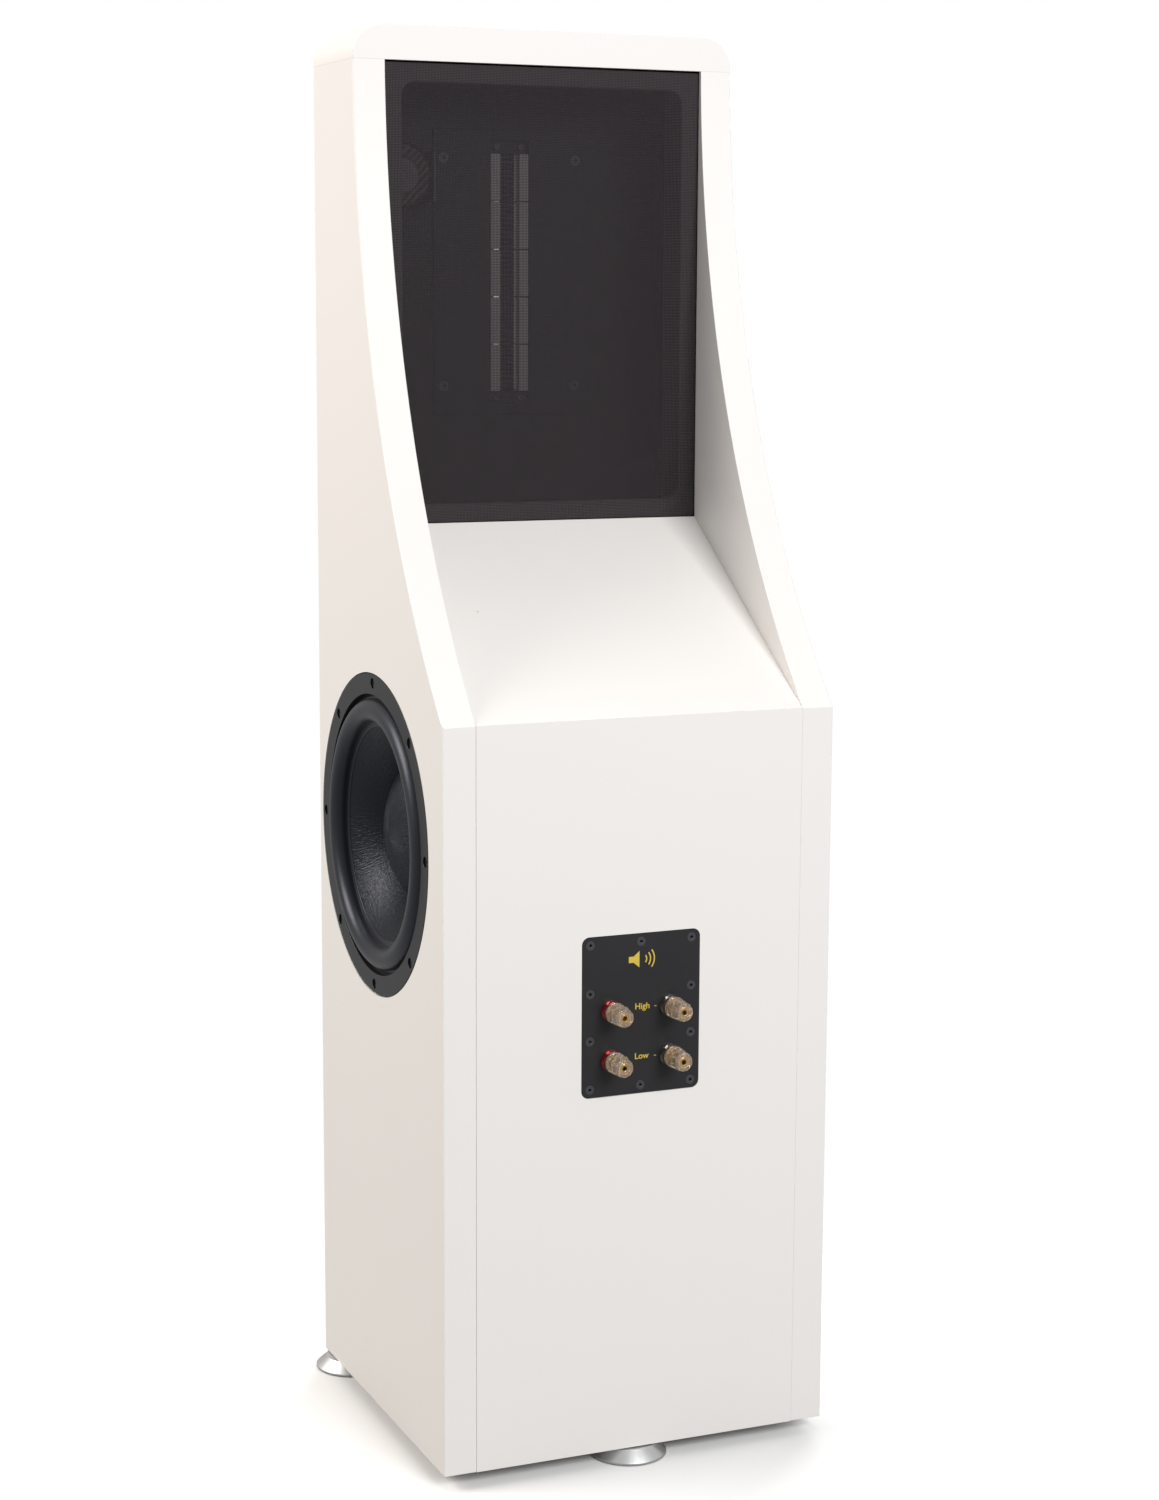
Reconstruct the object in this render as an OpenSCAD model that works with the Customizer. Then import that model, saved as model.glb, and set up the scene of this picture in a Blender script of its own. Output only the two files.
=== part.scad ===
// Floorstanding loudspeaker with an open-backed ribbon compartment, a side-firing woofer,
// a front midrange driver and twin pairs of binding posts.
// Frame: +Z up, front face towards -Y, woofer on +X, origin on the floor under the middle.
// Inside the modules, cab() starts at the cabinet's front face and underside.

/* [Cabinet] */
// Width of the cabinet
cab_w = 340; // [330:1:420]
// Depth of the cabinet, front face to rear face
cab_d = 312; // [300:1:380]
// Height of the side panels, up to the joint under the top cap
side_h = 1130; // [1100:1:1360]
// Height of the ribbon's compartment, from its floor to the joint under the top cap
compartment_h = 379; // [330:1:385]
// Fall of the slope from the compartment floor to the shoulder, where the rear panel ends
slope_fall = 141; // [111:1:161]
// Thickness of the side, rear and base boards and of the top cap
panel_t = 28; // [24:1:34]
// Thickness of the front baffle
baffle_t = 18; // [16:1:22]
// Thickness of the slope, shelf and brace boards
inner_t = 22; // [16:1:24]
// Depth of the top cap and of the wings beneath it
top_d = 104; // [96:1:130]
// Radius of the wings' curved rear edge
wing_r = 796; // [660:1:1200]

/* [Rear grille] */
// Inset of the grille's cloth from the rear of the top cap
grille_inset = 3; // [2:0.5:6]
// Thickness of the grille frame
grille_frame_t = 13; // [10:1:16]
// Width of the grille frame's border
grille_border = 15; // [12:1:20]
// Radius of the frame's inner corners
grille_corner_r = 12; // [6:1:20]
// Thickness of the grille cloth
cloth_t = 1; // [0.6:0.1:1.5]
// Gap between the grille and the boards beside and below it
grille_gap = 0.75; // [0.5:0.05:1.5]
// Gap between the grille and the top cap
grille_top_gap = 1.5; // [1:0.1:3]
// Radius of the grille's push pins
pin_r = 4; // [3:0.25:5]
// Length of the grille's push pins
pin_len = 12; // [8:1:16]
// Depth of the battens that the pins push into
batten_d = 24; // [20:1:32]

/* [Ribbon tweeter] */
// Drop from the top joint to the middle of the ribbon
ribbon_drop = 170; // [150:1:190]
// Width of the ribbon's rear plate
rear_plate_w = 140; // [120:1:144]
// Height of the ribbon's rear plate
rear_plate_h = 243; // [235:1:280]
// Thickness of the ribbon's rear plate
rear_plate_t = 2.5; // [2:0.1:4]
// Margin of the faceplate beyond the rear plate, on each side
face_margin = 8; // [4:1:12]
// Thickness of the faceplate
face_t = 4; // [3:0.5:6]
// Width of one bar magnet
magnet_w = 9; // [7:0.5:12]
// Length of one bar magnet
magnet_len = 40; // [36:0.5:41]
// Bar magnets in one column
magnet_count = 5; // [4:1:5]
// Width of the gap between the two magnet columns
ribbon_gap = 17.2; // [14:0.2:20]
// Width of the corrugated foil
foil_w = 14; // [8:0.5:16]
// Pitch of the foil's corrugation
foil_pitch = 4; // [3:0.5:6]
// Outer radius of the matching transformer
trafo_r = 29; // [24:1:32]
// Thickness of the matching transformer
trafo_t = 26; // [20:1:34]

/* [Woofer] */
// Distance of the woofer's centre from the front face
woofer_y = 144; // [142:1:160]
// Height of the woofer's centre
woofer_h = 497; // [400:1:500]
// Outer radius of the woofer's flange
flange_r = 135; // [130:0.5:137]
// Thickness of the flange, which is let into the board
flange_t = 8; // [6:0.5:10]
// Radius of the basket behind the flange
basket_r = 117; // [116:0.5:119]
// Radius of the circle of flange screws
flange_screw_r = 127; // [125:0.5:128]
// Number of flange screws
flange_screws = 8; // [6:1:10]
// Radius of the middle of the surround's roll
roll_r = 104; // [102:0.5:105]
// Radius of the roll's own half round
roll_h = 9; // [7:0.5:10]
// Radius of the voice-coil former
former_r = 30; // [26:0.5:34]
// Radius of the dust cap
cap_r = 52; // [42:1:60]
// Height of the dust cap's dome
cap_h = 17; // [10:1:22]
// Depth of the cone from rim to neck
cone_depth = 34; // [28:1:38]
// Radius of the ferrite magnet
ferrite_r = 75; // [68:1:78]
// Thickness of the ferrite magnet
ferrite_t = 18; // [14:1:22]

/* [Midrange] */
// Outer radius of the midrange driver's flange
mid_r = 75; // [68:1:76]
// Drop from the compartment floor to the midrange driver's centre
mid_drop = 101; // [100:1:104]
// Outer radius of the midrange driver's sealed pot
pot_r = 72; // [70:1:73]
// Depth of the midrange driver's sealed pot
pot_d = 80; // [70:1:82]
// Wall of the midrange driver's sealed pot
pot_wall = 4; // [3:0.5:5]

/* [Terminals] */
// Width of the terminal plate
term_w = 103; // [100:1:116]
// Height of the terminal plate
term_h = 132; // [128:1:150]
// Thickness of the terminal plate
term_t = 3; // [2:0.5:4]
// Corner radius of the terminal plate
term_corner_r = 6; // [4:0.5:8]
// Height of the terminal plate's centre
term_z = 368; // [330:1:400]
// Half the spacing between the plus and minus posts
post_x = 26; // [22:1:28]
// Height of the upper posts above the plate's centre
post_up = 4.5; // [2:0.5:10]
// Height of the lower posts below the plate's centre
post_down = 36.5; // [30:0.5:38]
// Radius of a post's collar
collar_r = 9.2; // [8:0.1:10]
// Height of a post's collar
collar_h = 7; // [5:0.5:9]
// Length of a post's turning cap
cap_len = 20.5; // [16:0.5:24]
// Radius of the banana-plug socket
banana_r = 2; // [2:0.05:2.1]
// Depth of the banana-plug socket
banana_depth = 18; // [16:1:20]

/* [Feet] */
// Radius of a foot's bell
foot_r = 32; // [26:1:36]
// Gap between the floor and the cabinet
foot_h = 12; // [11:0.5:18]
// Inset of a foot's centre from the cabinet's faces
foot_inset = 19; // [17:0.5:20]
// Radius of a foot's threaded stud
stud_r = 4.95; // [3.95:0.1:5.4]
// Length of a foot's stud inside the cabinet
stud_len = 18; // [14:1:22]
// Radius of the threaded insert
insert_r = 7; // [6:0.1:8]

/* [Hidden] */
$fn = 96;
WHITE = "#f4f2ee";
BLACK = "#2b2b2d";
STEEL = "#8f9296";
ALU = "#c9cbcd";
GOLD = "#d8b45a";
slide_clear = 0.08;             // between a sliding or turning piece and its guide
slip = 0.5;                     // between a fitted piece and the recess it drops into
eps = 1;                        // overrun of a cut past the face it opens
inner_w = cab_w - 2 * panel_t;
floor_h = side_h - compartment_h;
shoulder_h = floor_h - slope_fall;
grille_y = top_d - grille_inset;
grille_z0 = floor_h + grille_gap;
grille_z1 = side_h - grille_top_gap;
slope_rise = (floor_h - shoulder_h) / (cab_d - grille_y);
slope_drop = inner_t * sqrt(1 + slope_rise * slope_rise);
chord = norm([cab_d - top_d, side_h - shoulder_h]);
chord_rise = sqrt(wing_r * wing_r - chord * chord / 4);
wing_y = (cab_d + top_d) / 2 + chord_rise * (side_h - shoulder_h) / chord;
wing_z = (side_h + shoulder_h) / 2 + chord_rise * (cab_d - top_d) / chord;
ribbon_z = side_h - ribbon_drop;
washer_t = 1.2;
post_len = collar_h + washer_t + cap_len;
front_y = (foot_r - foot_inset - cab_d - post_len) / 2;

// ---- Placing helpers ----
// Start of the cabinet: middle of the width, front face, underside.
module cab() {
    translate([0, front_y, foot_h]) children();
}

// Extrudes a Y-Z outline along +X, from x.
module along_x(x, t) {
    translate([x, 0, 0]) rotate([90, 0, 90]) linear_extrude(t) children();
}

// Extrudes an X-Z outline along +Y, from y.
module along_y(y, t) {
    translate([0, y + t, 0]) rotate([90, 0, 0]) linear_extrude(t) children();
}

// Turns a shape made along +Z so that it points along +Y.
module to_y() {
    rotate([-90, 0, 0]) children();
}

module rounded_rect(w, h, r) {
    union() {
        square([w - 2 * r, h], center = true);
        square([w, h - 2 * r], center = true);
        for (x = [-1, 1], y = [-1, 1]) translate([x * (w / 2 - r), y * (h / 2 - r)]) circle(r);
    }
}

// Countersunk screw along +Z with its head's face at z = 0 and its tip below.
module flat_screw(head_r, shank_r, len) {
    head_h = head_r - shank_r;
    rotate_extrude() polygon([[0, 0], [head_r, 0], [shank_r, -head_h], [shank_r, -len], [0, -len]]);
}

// Six-sided key socket sunk from z = 0.
module key_socket(r, depth) {
    translate([0, 0, -depth]) cylinder(r = r, h = depth + eps, $fn = 6);
}

// ---- Cabinet ----
// Outline of a side panel, seen from the side: tall box with its upper rear swept away.
module side_outline() {
    difference() {
        square([cab_d, side_h]);
        translate([wing_y, wing_z]) circle(wing_r, $fn = 720);
    }
}

module side_panel_woofer() {
    color(WHITE) cab() difference() {
        along_x(cab_w / 2 - panel_t, panel_t) side_outline();
        at_woofer() translate([0, 0, -flange_t]) cylinder(r = flange_r + slip, h = flange_t + eps);
        at_woofer() translate([0, 0, -panel_t - eps]) cylinder(r = basket_r + slip, h = panel_t + 2 * eps);
        at_woofer() flange_screw_ring() flange_screw();
        foot_holes();
    }
}

module side_panel_plain() {
    color(WHITE) cab() difference() {
        along_x(-cab_w / 2, panel_t) side_outline();
        foot_holes();
    }
}

module top_cap() {
    color(WHITE) cab() translate([0, 0, side_h]) along_y(0, top_d) union() {
        translate([-cab_w / 2 + panel_t, 0]) square([inner_w, panel_t]);
        for (side = [-1, 1]) translate([side * inner_w / 2, 0]) intersection() {
            circle(panel_t);
            translate([side * panel_t / 2, panel_t / 2]) square(panel_t, center = true);
        }
    }
}

module rear_panel() {
    top_inside = shoulder_h + panel_t * slope_rise - slope_drop;
    color(WHITE) cab() difference() {
        along_x(-inner_w / 2, inner_w) polygon([[cab_d - panel_t, 0], [cab_d, 0],
            [cab_d, shoulder_h], [cab_d - panel_t, top_inside]]);
        at_terminals() translate([0, 0, -term_t]) linear_extrude(term_t + eps)
            rounded_rect(term_w + 2 * slip, term_h + 2 * slip, term_corner_r + slip);
        at_terminals() translate([0, 0, -panel_t - eps]) linear_extrude(panel_t + 2 * eps)
            rounded_rect(term_w - 2 * term_rim, term_h - 2 * term_rim, term_corner_r);
        at_terminals() terminal_screw_places() terminal_screw();
        foot_holes();
    }
}

module slope_panel() {
    top_inside = shoulder_h + panel_t * slope_rise - slope_drop;
    color(WHITE) cab() along_x(-inner_w / 2, inner_w) polygon([[cab_d, shoulder_h],
        [grille_y, floor_h], [grille_y, floor_h - slope_drop], [cab_d - panel_t, top_inside]]);
}

module base_panel() {
    color(WHITE) cab() translate([-inner_w / 2, baffle_t, 0])
        cube([inner_w, cab_d - panel_t - baffle_t, panel_t]);
}

module front_baffle() {
    color(WHITE) cab() difference() {
        translate([-inner_w / 2, 0, 0]) cube([inner_w, baffle_t, side_h]);
        at_ribbon() along_y(-eps, face_t + eps)
            square([face_w + slip, face_h + slip], center = true);
        at_ribbon() along_y(-eps, baffle_t + 2 * eps)
            square([spacer_w + slip, spacer_h + slip], center = true);
        at_ribbon() ribbon_mount_places() ribbon_mount_screw();
        at_mid() translate([0, 0, -flange_t]) cylinder(r = flange_r + slip, h = flange_t + eps);
        at_mid() translate([0, 0, -baffle_t * flange_r / mid_r - eps])
            cylinder(r = basket_r + slip, h = baffle_t * flange_r / mid_r + 2 * eps);
        at_mid() flange_screw_ring() flange_screw();
    }
}

module compartment_shelf() {
    color(WHITE) cab() translate([-inner_w / 2, baffle_t, floor_h - inner_t])
        cube([inner_w, grille_y - baffle_t, inner_t]);
}

module window_brace() {
    rim = 45;
    brace_h = 225;
    depth = cab_d - panel_t - baffle_t;
    color("#c8a878") cab() translate([0, baffle_t + depth / 2, brace_h])
        linear_extrude(inner_t) difference() {
            square([inner_w, depth], center = true);
            rounded_rect(inner_w - 2 * rim, depth - 2 * rim, rim / 2);
        }
}

// Closed pot behind the midrange driver, glued to the baffle's rear face.
module mid_pot() {
    color(BLACK) cab() translate([0, baffle_t, floor_h - mid_drop]) to_y() difference() {
        cylinder(r = pot_r, h = pot_d);
        translate([0, 0, -eps]) cylinder(r = pot_r - pot_wall, h = pot_d - pot_wall + eps);
    }
}

// ---- Ribbon tweeter ----
face_w = rear_plate_w + 2 * face_margin;
face_h = rear_plate_h + 2 * face_margin;
spacer_wall = 7;
window_w = ribbon_gap + 2 * magnet_w;
magnet_pitch = magnet_len + 0.8;
column_h = magnet_count * magnet_pitch;
clamp_h = 11;
clamp_screw_x = 11;
clamp_screw_r = 1.25;
window_h = column_h + 2 * clamp_h;
spacer_w = window_w + 2 * spacer_wall;
spacer_h = window_h + 2 * spacer_wall;
rear_plate_y = baffle_t + rear_plate_t;
foil_y = (face_t + rear_plate_y) / 2;
foil_t = 0.4;
clamp_t = 4;
mount_hole_x = 61;
mount_hole_z = 97;
bracket_t = 2;
trafo_x = inner_w / 2 - trafo_r - 5;
trafo_z = ribbon_z + 80;
trafo_left = trafo_x - trafo_r - bracket_t - slip;

module at_ribbon() {
    translate([0, 0, ribbon_z]) children();
}

module ribbon_mount_places() {
    for (x = [-1, 1], z = [-1, 1])
        translate([x * mount_hole_x, rear_plate_y, z * mount_hole_z]) to_y() children();
}

module ribbon_mount_screw() {
    flat_screw(4.5, 2, 12);
}

// Front plate with the tube that holds the magnets, let into the baffle.
module ribbon_faceplate() {
    color(ALU) cab() at_ribbon() difference() {
        union() {
            along_y(0, face_t) square([face_w, face_h], center = true);
            along_y(face_t, baffle_t - face_t) square([spacer_w, spacer_h], center = true);
        }
        along_y(-eps, face_t + 2 * eps) square([ribbon_gap, column_h], center = true);
        along_y(face_t, baffle_t) square([window_w, window_h], center = true);
    }
}

// Plate over the magnets, notched where the transformer stands if it reaches that far.
module ribbon_rear_plate() {
    color(BLACK) cab() at_ribbon() difference() {
        along_y(baffle_t, rear_plate_t) square([rear_plate_w, rear_plate_h], center = true);
        along_y(baffle_t - eps, rear_plate_t + 2 * eps) square([window_w, window_h], center = true);
        ribbon_mount_places() ribbon_mount_screw();
        translate([trafo_left - slip, 0, trafo_z - ribbon_z - trafo_r - slip])
            cube([inner_w / 2 - trafo_left + slip, rear_plate_y + eps, 2 * (trafo_r + slip)]);
    }
}

module ribbon_magnets() {
    depth = rear_plate_y - face_t;
    color(ALU) cab() at_ribbon() for (side = [-1, 1], i = [0 : magnet_count - 1]) {
        x = side * (ribbon_gap + magnet_w) / 2;
        z = (i + 0.5) * magnet_pitch - column_h / 2;
        translate([x, face_t + depth / 2, z]) cube([magnet_w, depth, magnet_len], center = true);
    }
}

// Corrugated foil with flat tails under the clamps.
module ribbon_foil() {
    ridge = 1.2;
    folds = floor(column_h / foil_pitch) * 2;
    step = column_h / folds;
    tail = [[0, -column_h / 2 - clamp_h + 1], [0, -column_h / 2]];
    crest = [for (i = [1 : folds - 1]) [i % 2 == 1 ? ridge : -ridge, i * step - column_h / 2]];
    head = [[0, column_h / 2], [0, column_h / 2 + clamp_h - 1]];
    line = concat(tail, crest, head);
    back = [for (i = [len(line) - 1 : -1 : 0]) line[i] + [foil_t, 0]];
    color("silver") cab() at_ribbon() translate([0, foil_y - foil_t / 2, 0])
        along_x(-foil_w / 2, foil_w) polygon(concat(line, back));
}

// Two bars sandwich each end of the foil.
module ribbon_clamps() {
    bar_w = window_w - 0.2;
    color(BLACK) cab() at_ribbon() for (end = [-1, 1], layer = [-clamp_t - foil_t / 2, foil_t / 2])
        translate([-bar_w / 2, foil_y + layer, end * (column_h + clamp_h) / 2 - clamp_h / 2])
            difference() {
                cube([bar_w, clamp_t, clamp_h]);
                for (side = [-1, 1]) translate([bar_w / 2 + side * clamp_screw_x, -eps, clamp_h / 2])
                    to_y() cylinder(r = clamp_screw_r, h = clamp_t + 2 * eps, $fn = 32);
            }
}

module ribbon_screws() {
    head_t = 1.8;
    reach = 2 * clamp_t + foil_t;
    color(STEEL) cab() at_ribbon() {
        ribbon_mount_places() difference() {
            ribbon_mount_screw();
            key_socket(1.8, 2);
        }
        for (side = [-1, 1], end = [-1, 1])
            translate([side * clamp_screw_x, foil_y + foil_t / 2 + clamp_t, end * (column_h + clamp_h) / 2])
                to_y() difference() {
                    union() {
                        cylinder(r = 2.6, h = head_t);
                        translate([0, 0, -reach]) cylinder(r = clamp_screw_r, h = reach, $fn = 32);
                    }
                    translate([0, 0, head_t]) key_socket(1.2, 1);
                }
    }
}

// Ring transformer beside the ribbon, standing off the baffle's rear face.
module matching_transformer() {
    bore = trafo_r * 0.38;
    color("#3a2326") cab() translate([trafo_x, baffle_t + bracket_t, trafo_z]) to_y() rotate_extrude()
        translate([(trafo_r + bore) / 2, trafo_t / 2]) rounded_rect(trafo_r - bore, trafo_t, 5);
}

// Folded strip behind the transformer, with an upright beside it and a bolt through its middle.
module transformer_bracket() {
    upright_h = 42;
    bolt_r = 4;
    color(ALU) cab() translate([0, baffle_t, trafo_z]) union() {
        translate([trafo_left, 0, -upright_h / 2])
            cube([2 * trafo_r + bracket_t + slip, bracket_t, upright_h]);
        translate([trafo_left, 0, -upright_h / 2]) cube([bracket_t, trafo_t, upright_h]);
        translate([trafo_x, 0, 0]) to_y() cylinder(r = bolt_r, h = trafo_t + bracket_t + 4);
        translate([trafo_x, trafo_t + bracket_t, 0]) to_y() cylinder(r = trafo_r * 0.5, h = 2);
    }
}

// ---- Rear grille ----
grille_w = inner_w - 2 * grille_gap;
grille_h = grille_z1 - grille_z0;
batten_w = grille_border + grille_gap - 1;
pin_x = inner_w / 2 - batten_w / 2;

module at_grille() {
    translate([0, grille_y, (grille_z0 + grille_z1) / 2]) children();
}

module pin_places() {
    reach = grille_h / 2 - 40;
    for (x = [-1, 1], z = [-1, 1]) translate([x * pin_x, 0, z * reach]) children();
}

module grille_frame() {
    front = -cloth_t - grille_frame_t;
    color(BLACK) cab() at_grille() union() {
        along_y(front, grille_frame_t) difference() {
            square([grille_w, grille_h], center = true);
            rounded_rect(grille_w - 2 * grille_border, grille_h - 2 * grille_border, grille_corner_r);
        }
        pin_places() translate([0, front - pin_len, 0]) to_y() cylinder(r = pin_r, h = pin_len);
    }
}

module grille_cloth() {
    color("#3a3436") cab() at_grille() along_y(-cloth_t, cloth_t) square([grille_w, grille_h], center = true);
}

module grille_battens() {
    top = -cloth_t - grille_frame_t - 0.5;
    color(BLACK) cab() difference() {
        for (side = [-1, 1])
            translate([side * (inner_w - batten_w) / 2 - batten_w / 2, grille_y + top - batten_d, floor_h])
                cube([batten_w, batten_d, side_h - floor_h]);
        at_grille() pin_places() translate([0, top - pin_len - slip, 0]) to_y()
            cylinder(r = pin_r + slide_clear, h = pin_len + slip + eps);
    }
}

// ---- Drivers ----
// Every driver piece is drawn about +Z, with z = 0 on the flange's face.
ledge_z = -flange_t + 2;
roll_wall = 1;
rim_w = 5;
rim_r = roll_r - roll_h + 0.5;
rim_z = ledge_z - 4;
cone_t = 1.5;
former_t = 0.6;
neck_r = former_r + former_t;
neck_z = rim_z - cone_depth;
cone_slope = cone_depth / (rim_r - rim_w - neck_r);
spider_z = neck_z - 22;
spider_r = 80;
spider_t = 1;
seat_z = spider_z - 28;
plate_t = 8;
coil_t = 1.4;
coil_h = 16;
coil_z = seat_z - plate_t / 2;
pole_clear = 0.7;
plate_z = seat_z - plate_t;
back_z = plate_z - ferrite_t;

function cone_z(r) = rim_z - (rim_r - rim_w - r) * cone_slope;

module at_woofer() {
    translate([cab_w / 2, woofer_y, woofer_h]) rotate([0, 90, 0]) children();
}

// The midrange driver follows the woofer's drawing at its own flange size.
module at_mid() {
    translate([0, 0, floor_h - mid_drop]) rotate([90, 0, 0]) scale(mid_r / flange_r) children();
}

module flange_screw_ring() {
    for (i = [0 : flange_screws - 1])
        rotate([0, 0, i * 360 / flange_screws]) translate([flange_screw_r, 0, 0]) children();
}

// Socket-head screws stand in counterbores a little wider than their heads.
flange_counterbore = 4.5;
flange_head_r = 3.6;
flange_head_h = 3;
flange_shank_r = 2;
flange_shank_h = 18;
flange_bore_r = flange_head_r + 0.8;
module flange_screw() {
    translate([0, 0, -flange_counterbore]) cylinder(r = flange_head_r, h = flange_head_h, $fn = 48);
    translate([0, 0, -flange_counterbore - flange_shank_h])
        cylinder(r = flange_shank_r, h = flange_shank_h, $fn = 32);
}

module driver_basket() {
    lip_r = rim_r + 2 * roll_h + 4;
    wall = 5;
    waist_r = spider_r + 8;
    seat_r = 70;
    windows = 6;
    window_w_outer = 72;
    window_w_inner = 44;
    difference() {
        rotate_extrude($fn = 180) polygon([[flange_r, -flange_t], [flange_r, -1], [flange_r - 1, 0],
            [lip_r, 0], [lip_r, ledge_z], [lip_r - 9, ledge_z], [lip_r - 9, -flange_t],
            [basket_r - wall, -flange_t], [waist_r - wall, spider_z], [spider_r - 6, spider_z],
            [spider_r - 6, spider_z - 3], [seat_r - wall, seat_z + 4], [neck_r + 6, seat_z + 4],
            [neck_r + 6, seat_z], [seat_r, seat_z], [seat_r, seat_z + 4], [spider_r - 1, spider_z - 3],
            [waist_r, spider_z - 3], [waist_r, spider_z], [basket_r, -flange_t]]);
        for (i = [0 : windows - 1]) rotate([0, 0, (i + 0.5) * 360 / windows])
            translate([neck_r + 12, -window_w_outer / 2, spider_z + 6])
                cube([basket_r, window_w_outer, -spider_z - flange_t - 12]);
        for (i = [0 : windows - 1]) rotate([0, 0, (i + 0.5) * 360 / windows])
            translate([neck_r + 12, -window_w_inner / 2, seat_z + 8])
                cube([basket_r, window_w_inner, spider_z - seat_z - 16]);
        flange_screw_ring() translate([0, 0, -flange_counterbore])
            cylinder(r = flange_bore_r, h = flange_counterbore + 1, $fn = 48);
        flange_screw_ring() flange_screw();
    }
}

module driver_magnet() {
    translate([0, 0, back_z]) difference() {
        cylinder(r = ferrite_r, h = ferrite_t);
        translate([0, 0, -eps]) cylinder(r = neck_r + 9, h = ferrite_t + 2 * eps);
    }
}

// Steel top plate above the magnet, and the back plate with its vented pole.
module driver_pole_plates() {
    vent_r = 10;
    difference() {
        translate([0, 0, plate_z]) cylinder(r = ferrite_r - 5, h = plate_t);
        translate([0, 0, plate_z - eps]) cylinder(r = neck_r + coil_t + pole_clear, h = plate_t + 2 * eps);
    }
    difference() {
        union() {
            translate([0, 0, back_z - plate_t]) cylinder(r = ferrite_r - 7, h = plate_t);
            translate([0, 0, back_z - eps]) cylinder(r = former_r - pole_clear, h = seat_z - back_z + 2 + eps);
        }
        translate([0, 0, back_z - plate_t - eps]) cylinder(r = vent_r, h = seat_z - back_z + plate_t + 10);
    }
}

// Half sections of the moving pieces.
module cone_section() {
    polygon([[rim_r, rim_z], [rim_r - rim_w, rim_z], [neck_r, neck_z],
        [neck_r, neck_z - cone_t], [rim_r - rim_w, rim_z - cone_t], [rim_r, rim_z - cone_t]]);
}

module dust_cap_section() {
    base_z = cone_z(cap_r);
    ball_r = (cap_r * cap_r + cap_h * cap_h) / (2 * cap_h);
    intersection() {
        translate([0, base_z + cap_h - ball_r]) difference() {
            circle(ball_r, $fn = 360);
            circle(ball_r - 1, $fn = 360);
        }
        polygon([[0, base_z + 2 * cap_h], [cap_r, base_z + 2 * cap_h], [cap_r, base_z], [0, cone_z(0)]]);
    }
}

module voice_coil_section() {
    translate([former_r, coil_z - coil_h / 2]) square([former_t, neck_z - coil_z + coil_h / 2]);
    translate([neck_r, coil_z - coil_h / 2]) square([coil_t, coil_h]);
}

module driver_surround() {
    outer = roll_r + roll_h;
    rotate_extrude($fn = 180) union() {
        intersection() {
            translate([roll_r, ledge_z]) difference() {
                circle(roll_h);
                circle(roll_h - roll_wall);
            }
            translate([0, ledge_z]) square([flange_r, roll_h + 1]);
        }
        translate([outer - roll_wall, ledge_z]) square([roll_wall + 3.5, roll_wall]);
        translate([roll_r - roll_h, rim_z]) square([roll_wall, ledge_z - rim_z]);
        translate([rim_r - rim_w, rim_z]) square([rim_w, roll_wall]);
    }
}

module driver_spider() {
    folds = 14;
    inner = neck_r;
    step = (spider_r - inner) / folds;
    front = [for (i = [0 : folds]) [inner + i * step, spider_z + spider_t + (i % 2 == 1 ? 2.5 : 0)]];
    back = [for (i = [folds : -1 : 0]) front[i] - [0, spider_t]];
    rotate_extrude($fn = 180) polygon(concat(front, back));
}

module driver_screws() {
    flange_screw_ring() difference() {
        flange_screw();
        translate([0, 0, flange_head_h - flange_counterbore]) key_socket(1.9, 2);
    }
}

module woofer_basket() {
    color(BLACK) cab() at_woofer() driver_basket();
}

module woofer_magnet() {
    color("#3d3d40") cab() at_woofer() driver_magnet();
}

module woofer_pole_plates() {
    color(STEEL) cab() at_woofer() driver_pole_plates();
}

module woofer_cone() {
    color("#2c2c2e") cab() at_woofer() rotate_extrude($fn = 180) cone_section();
}

module woofer_dust_cap() {
    color("#333335") cab() at_woofer() rotate_extrude($fn = 180) dust_cap_section();
}

module woofer_voice_coil() {
    color("#b87333") cab() at_woofer() rotate_extrude($fn = 180) union() {
        voice_coil_section();
    }
}

module woofer_surround() {
    color("#38383a") cab() at_woofer() driver_surround();
}

module woofer_spider() {
    color("#c9a24a") cab() at_woofer() driver_spider();
}

module woofer_screws() {
    color(BLACK) cab() at_woofer() driver_screws();
}

module mid_basket() {
    color(BLACK) cab() at_mid() driver_basket();
}

module mid_motor() {
    color(STEEL) cab() at_mid() {
        driver_magnet();
        driver_pole_plates();
    }
}

module mid_cone() {
    color("#2c2c2e") cab() at_mid() rotate_extrude($fn = 180) union() {
        cone_section();
        dust_cap_section();
        voice_coil_section();
    }
}

module mid_surround() {
    color("#38383a") cab() at_mid() driver_surround();
}

module mid_spider() {
    color("#c9a24a") cab() at_mid() driver_spider();
}

module mid_screws() {
    color(BLACK) cab() at_mid() driver_screws();
}

// ---- Terminals ----
term_rim = 12;
term_screw_inset = 7;
term_screw_mid = 19.5;
post_stud_r = 3.6;
post_bore_r = post_stud_r + slide_clear;
spigot_r = 5;
nut_t = 4;
post_tail = 20;
stud_end = post_len - 1.2;
high_z = post_up;
low_z = -post_down;

// Plate's own frame: +Z points out of the rear panel, +Y points up, z = 0 on the rear face.
module at_terminals() {
    translate([0, cab_d, term_z]) rotate([-90, 180, 0]) children();
}

module terminal_screw_places() {
    x = term_w / 2 - term_screw_inset;
    y = term_h / 2 - term_screw_inset + 0.5;
    for (side = [-1, 1], row = [-y, -term_screw_mid, term_screw_mid, y])
        translate([side * x, row, 0]) children();
    for (row = [-y, y]) translate([0, row, 0]) children();
}

module terminal_screw() {
    flat_screw(3.9, 1.75, 16);
}

// side is 1 for plus and -1 for minus, as seen along the plate's own X.
module at_post(side, z) {
    cab() at_terminals() translate([-side * post_x, z, 0]) children();
}

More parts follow.
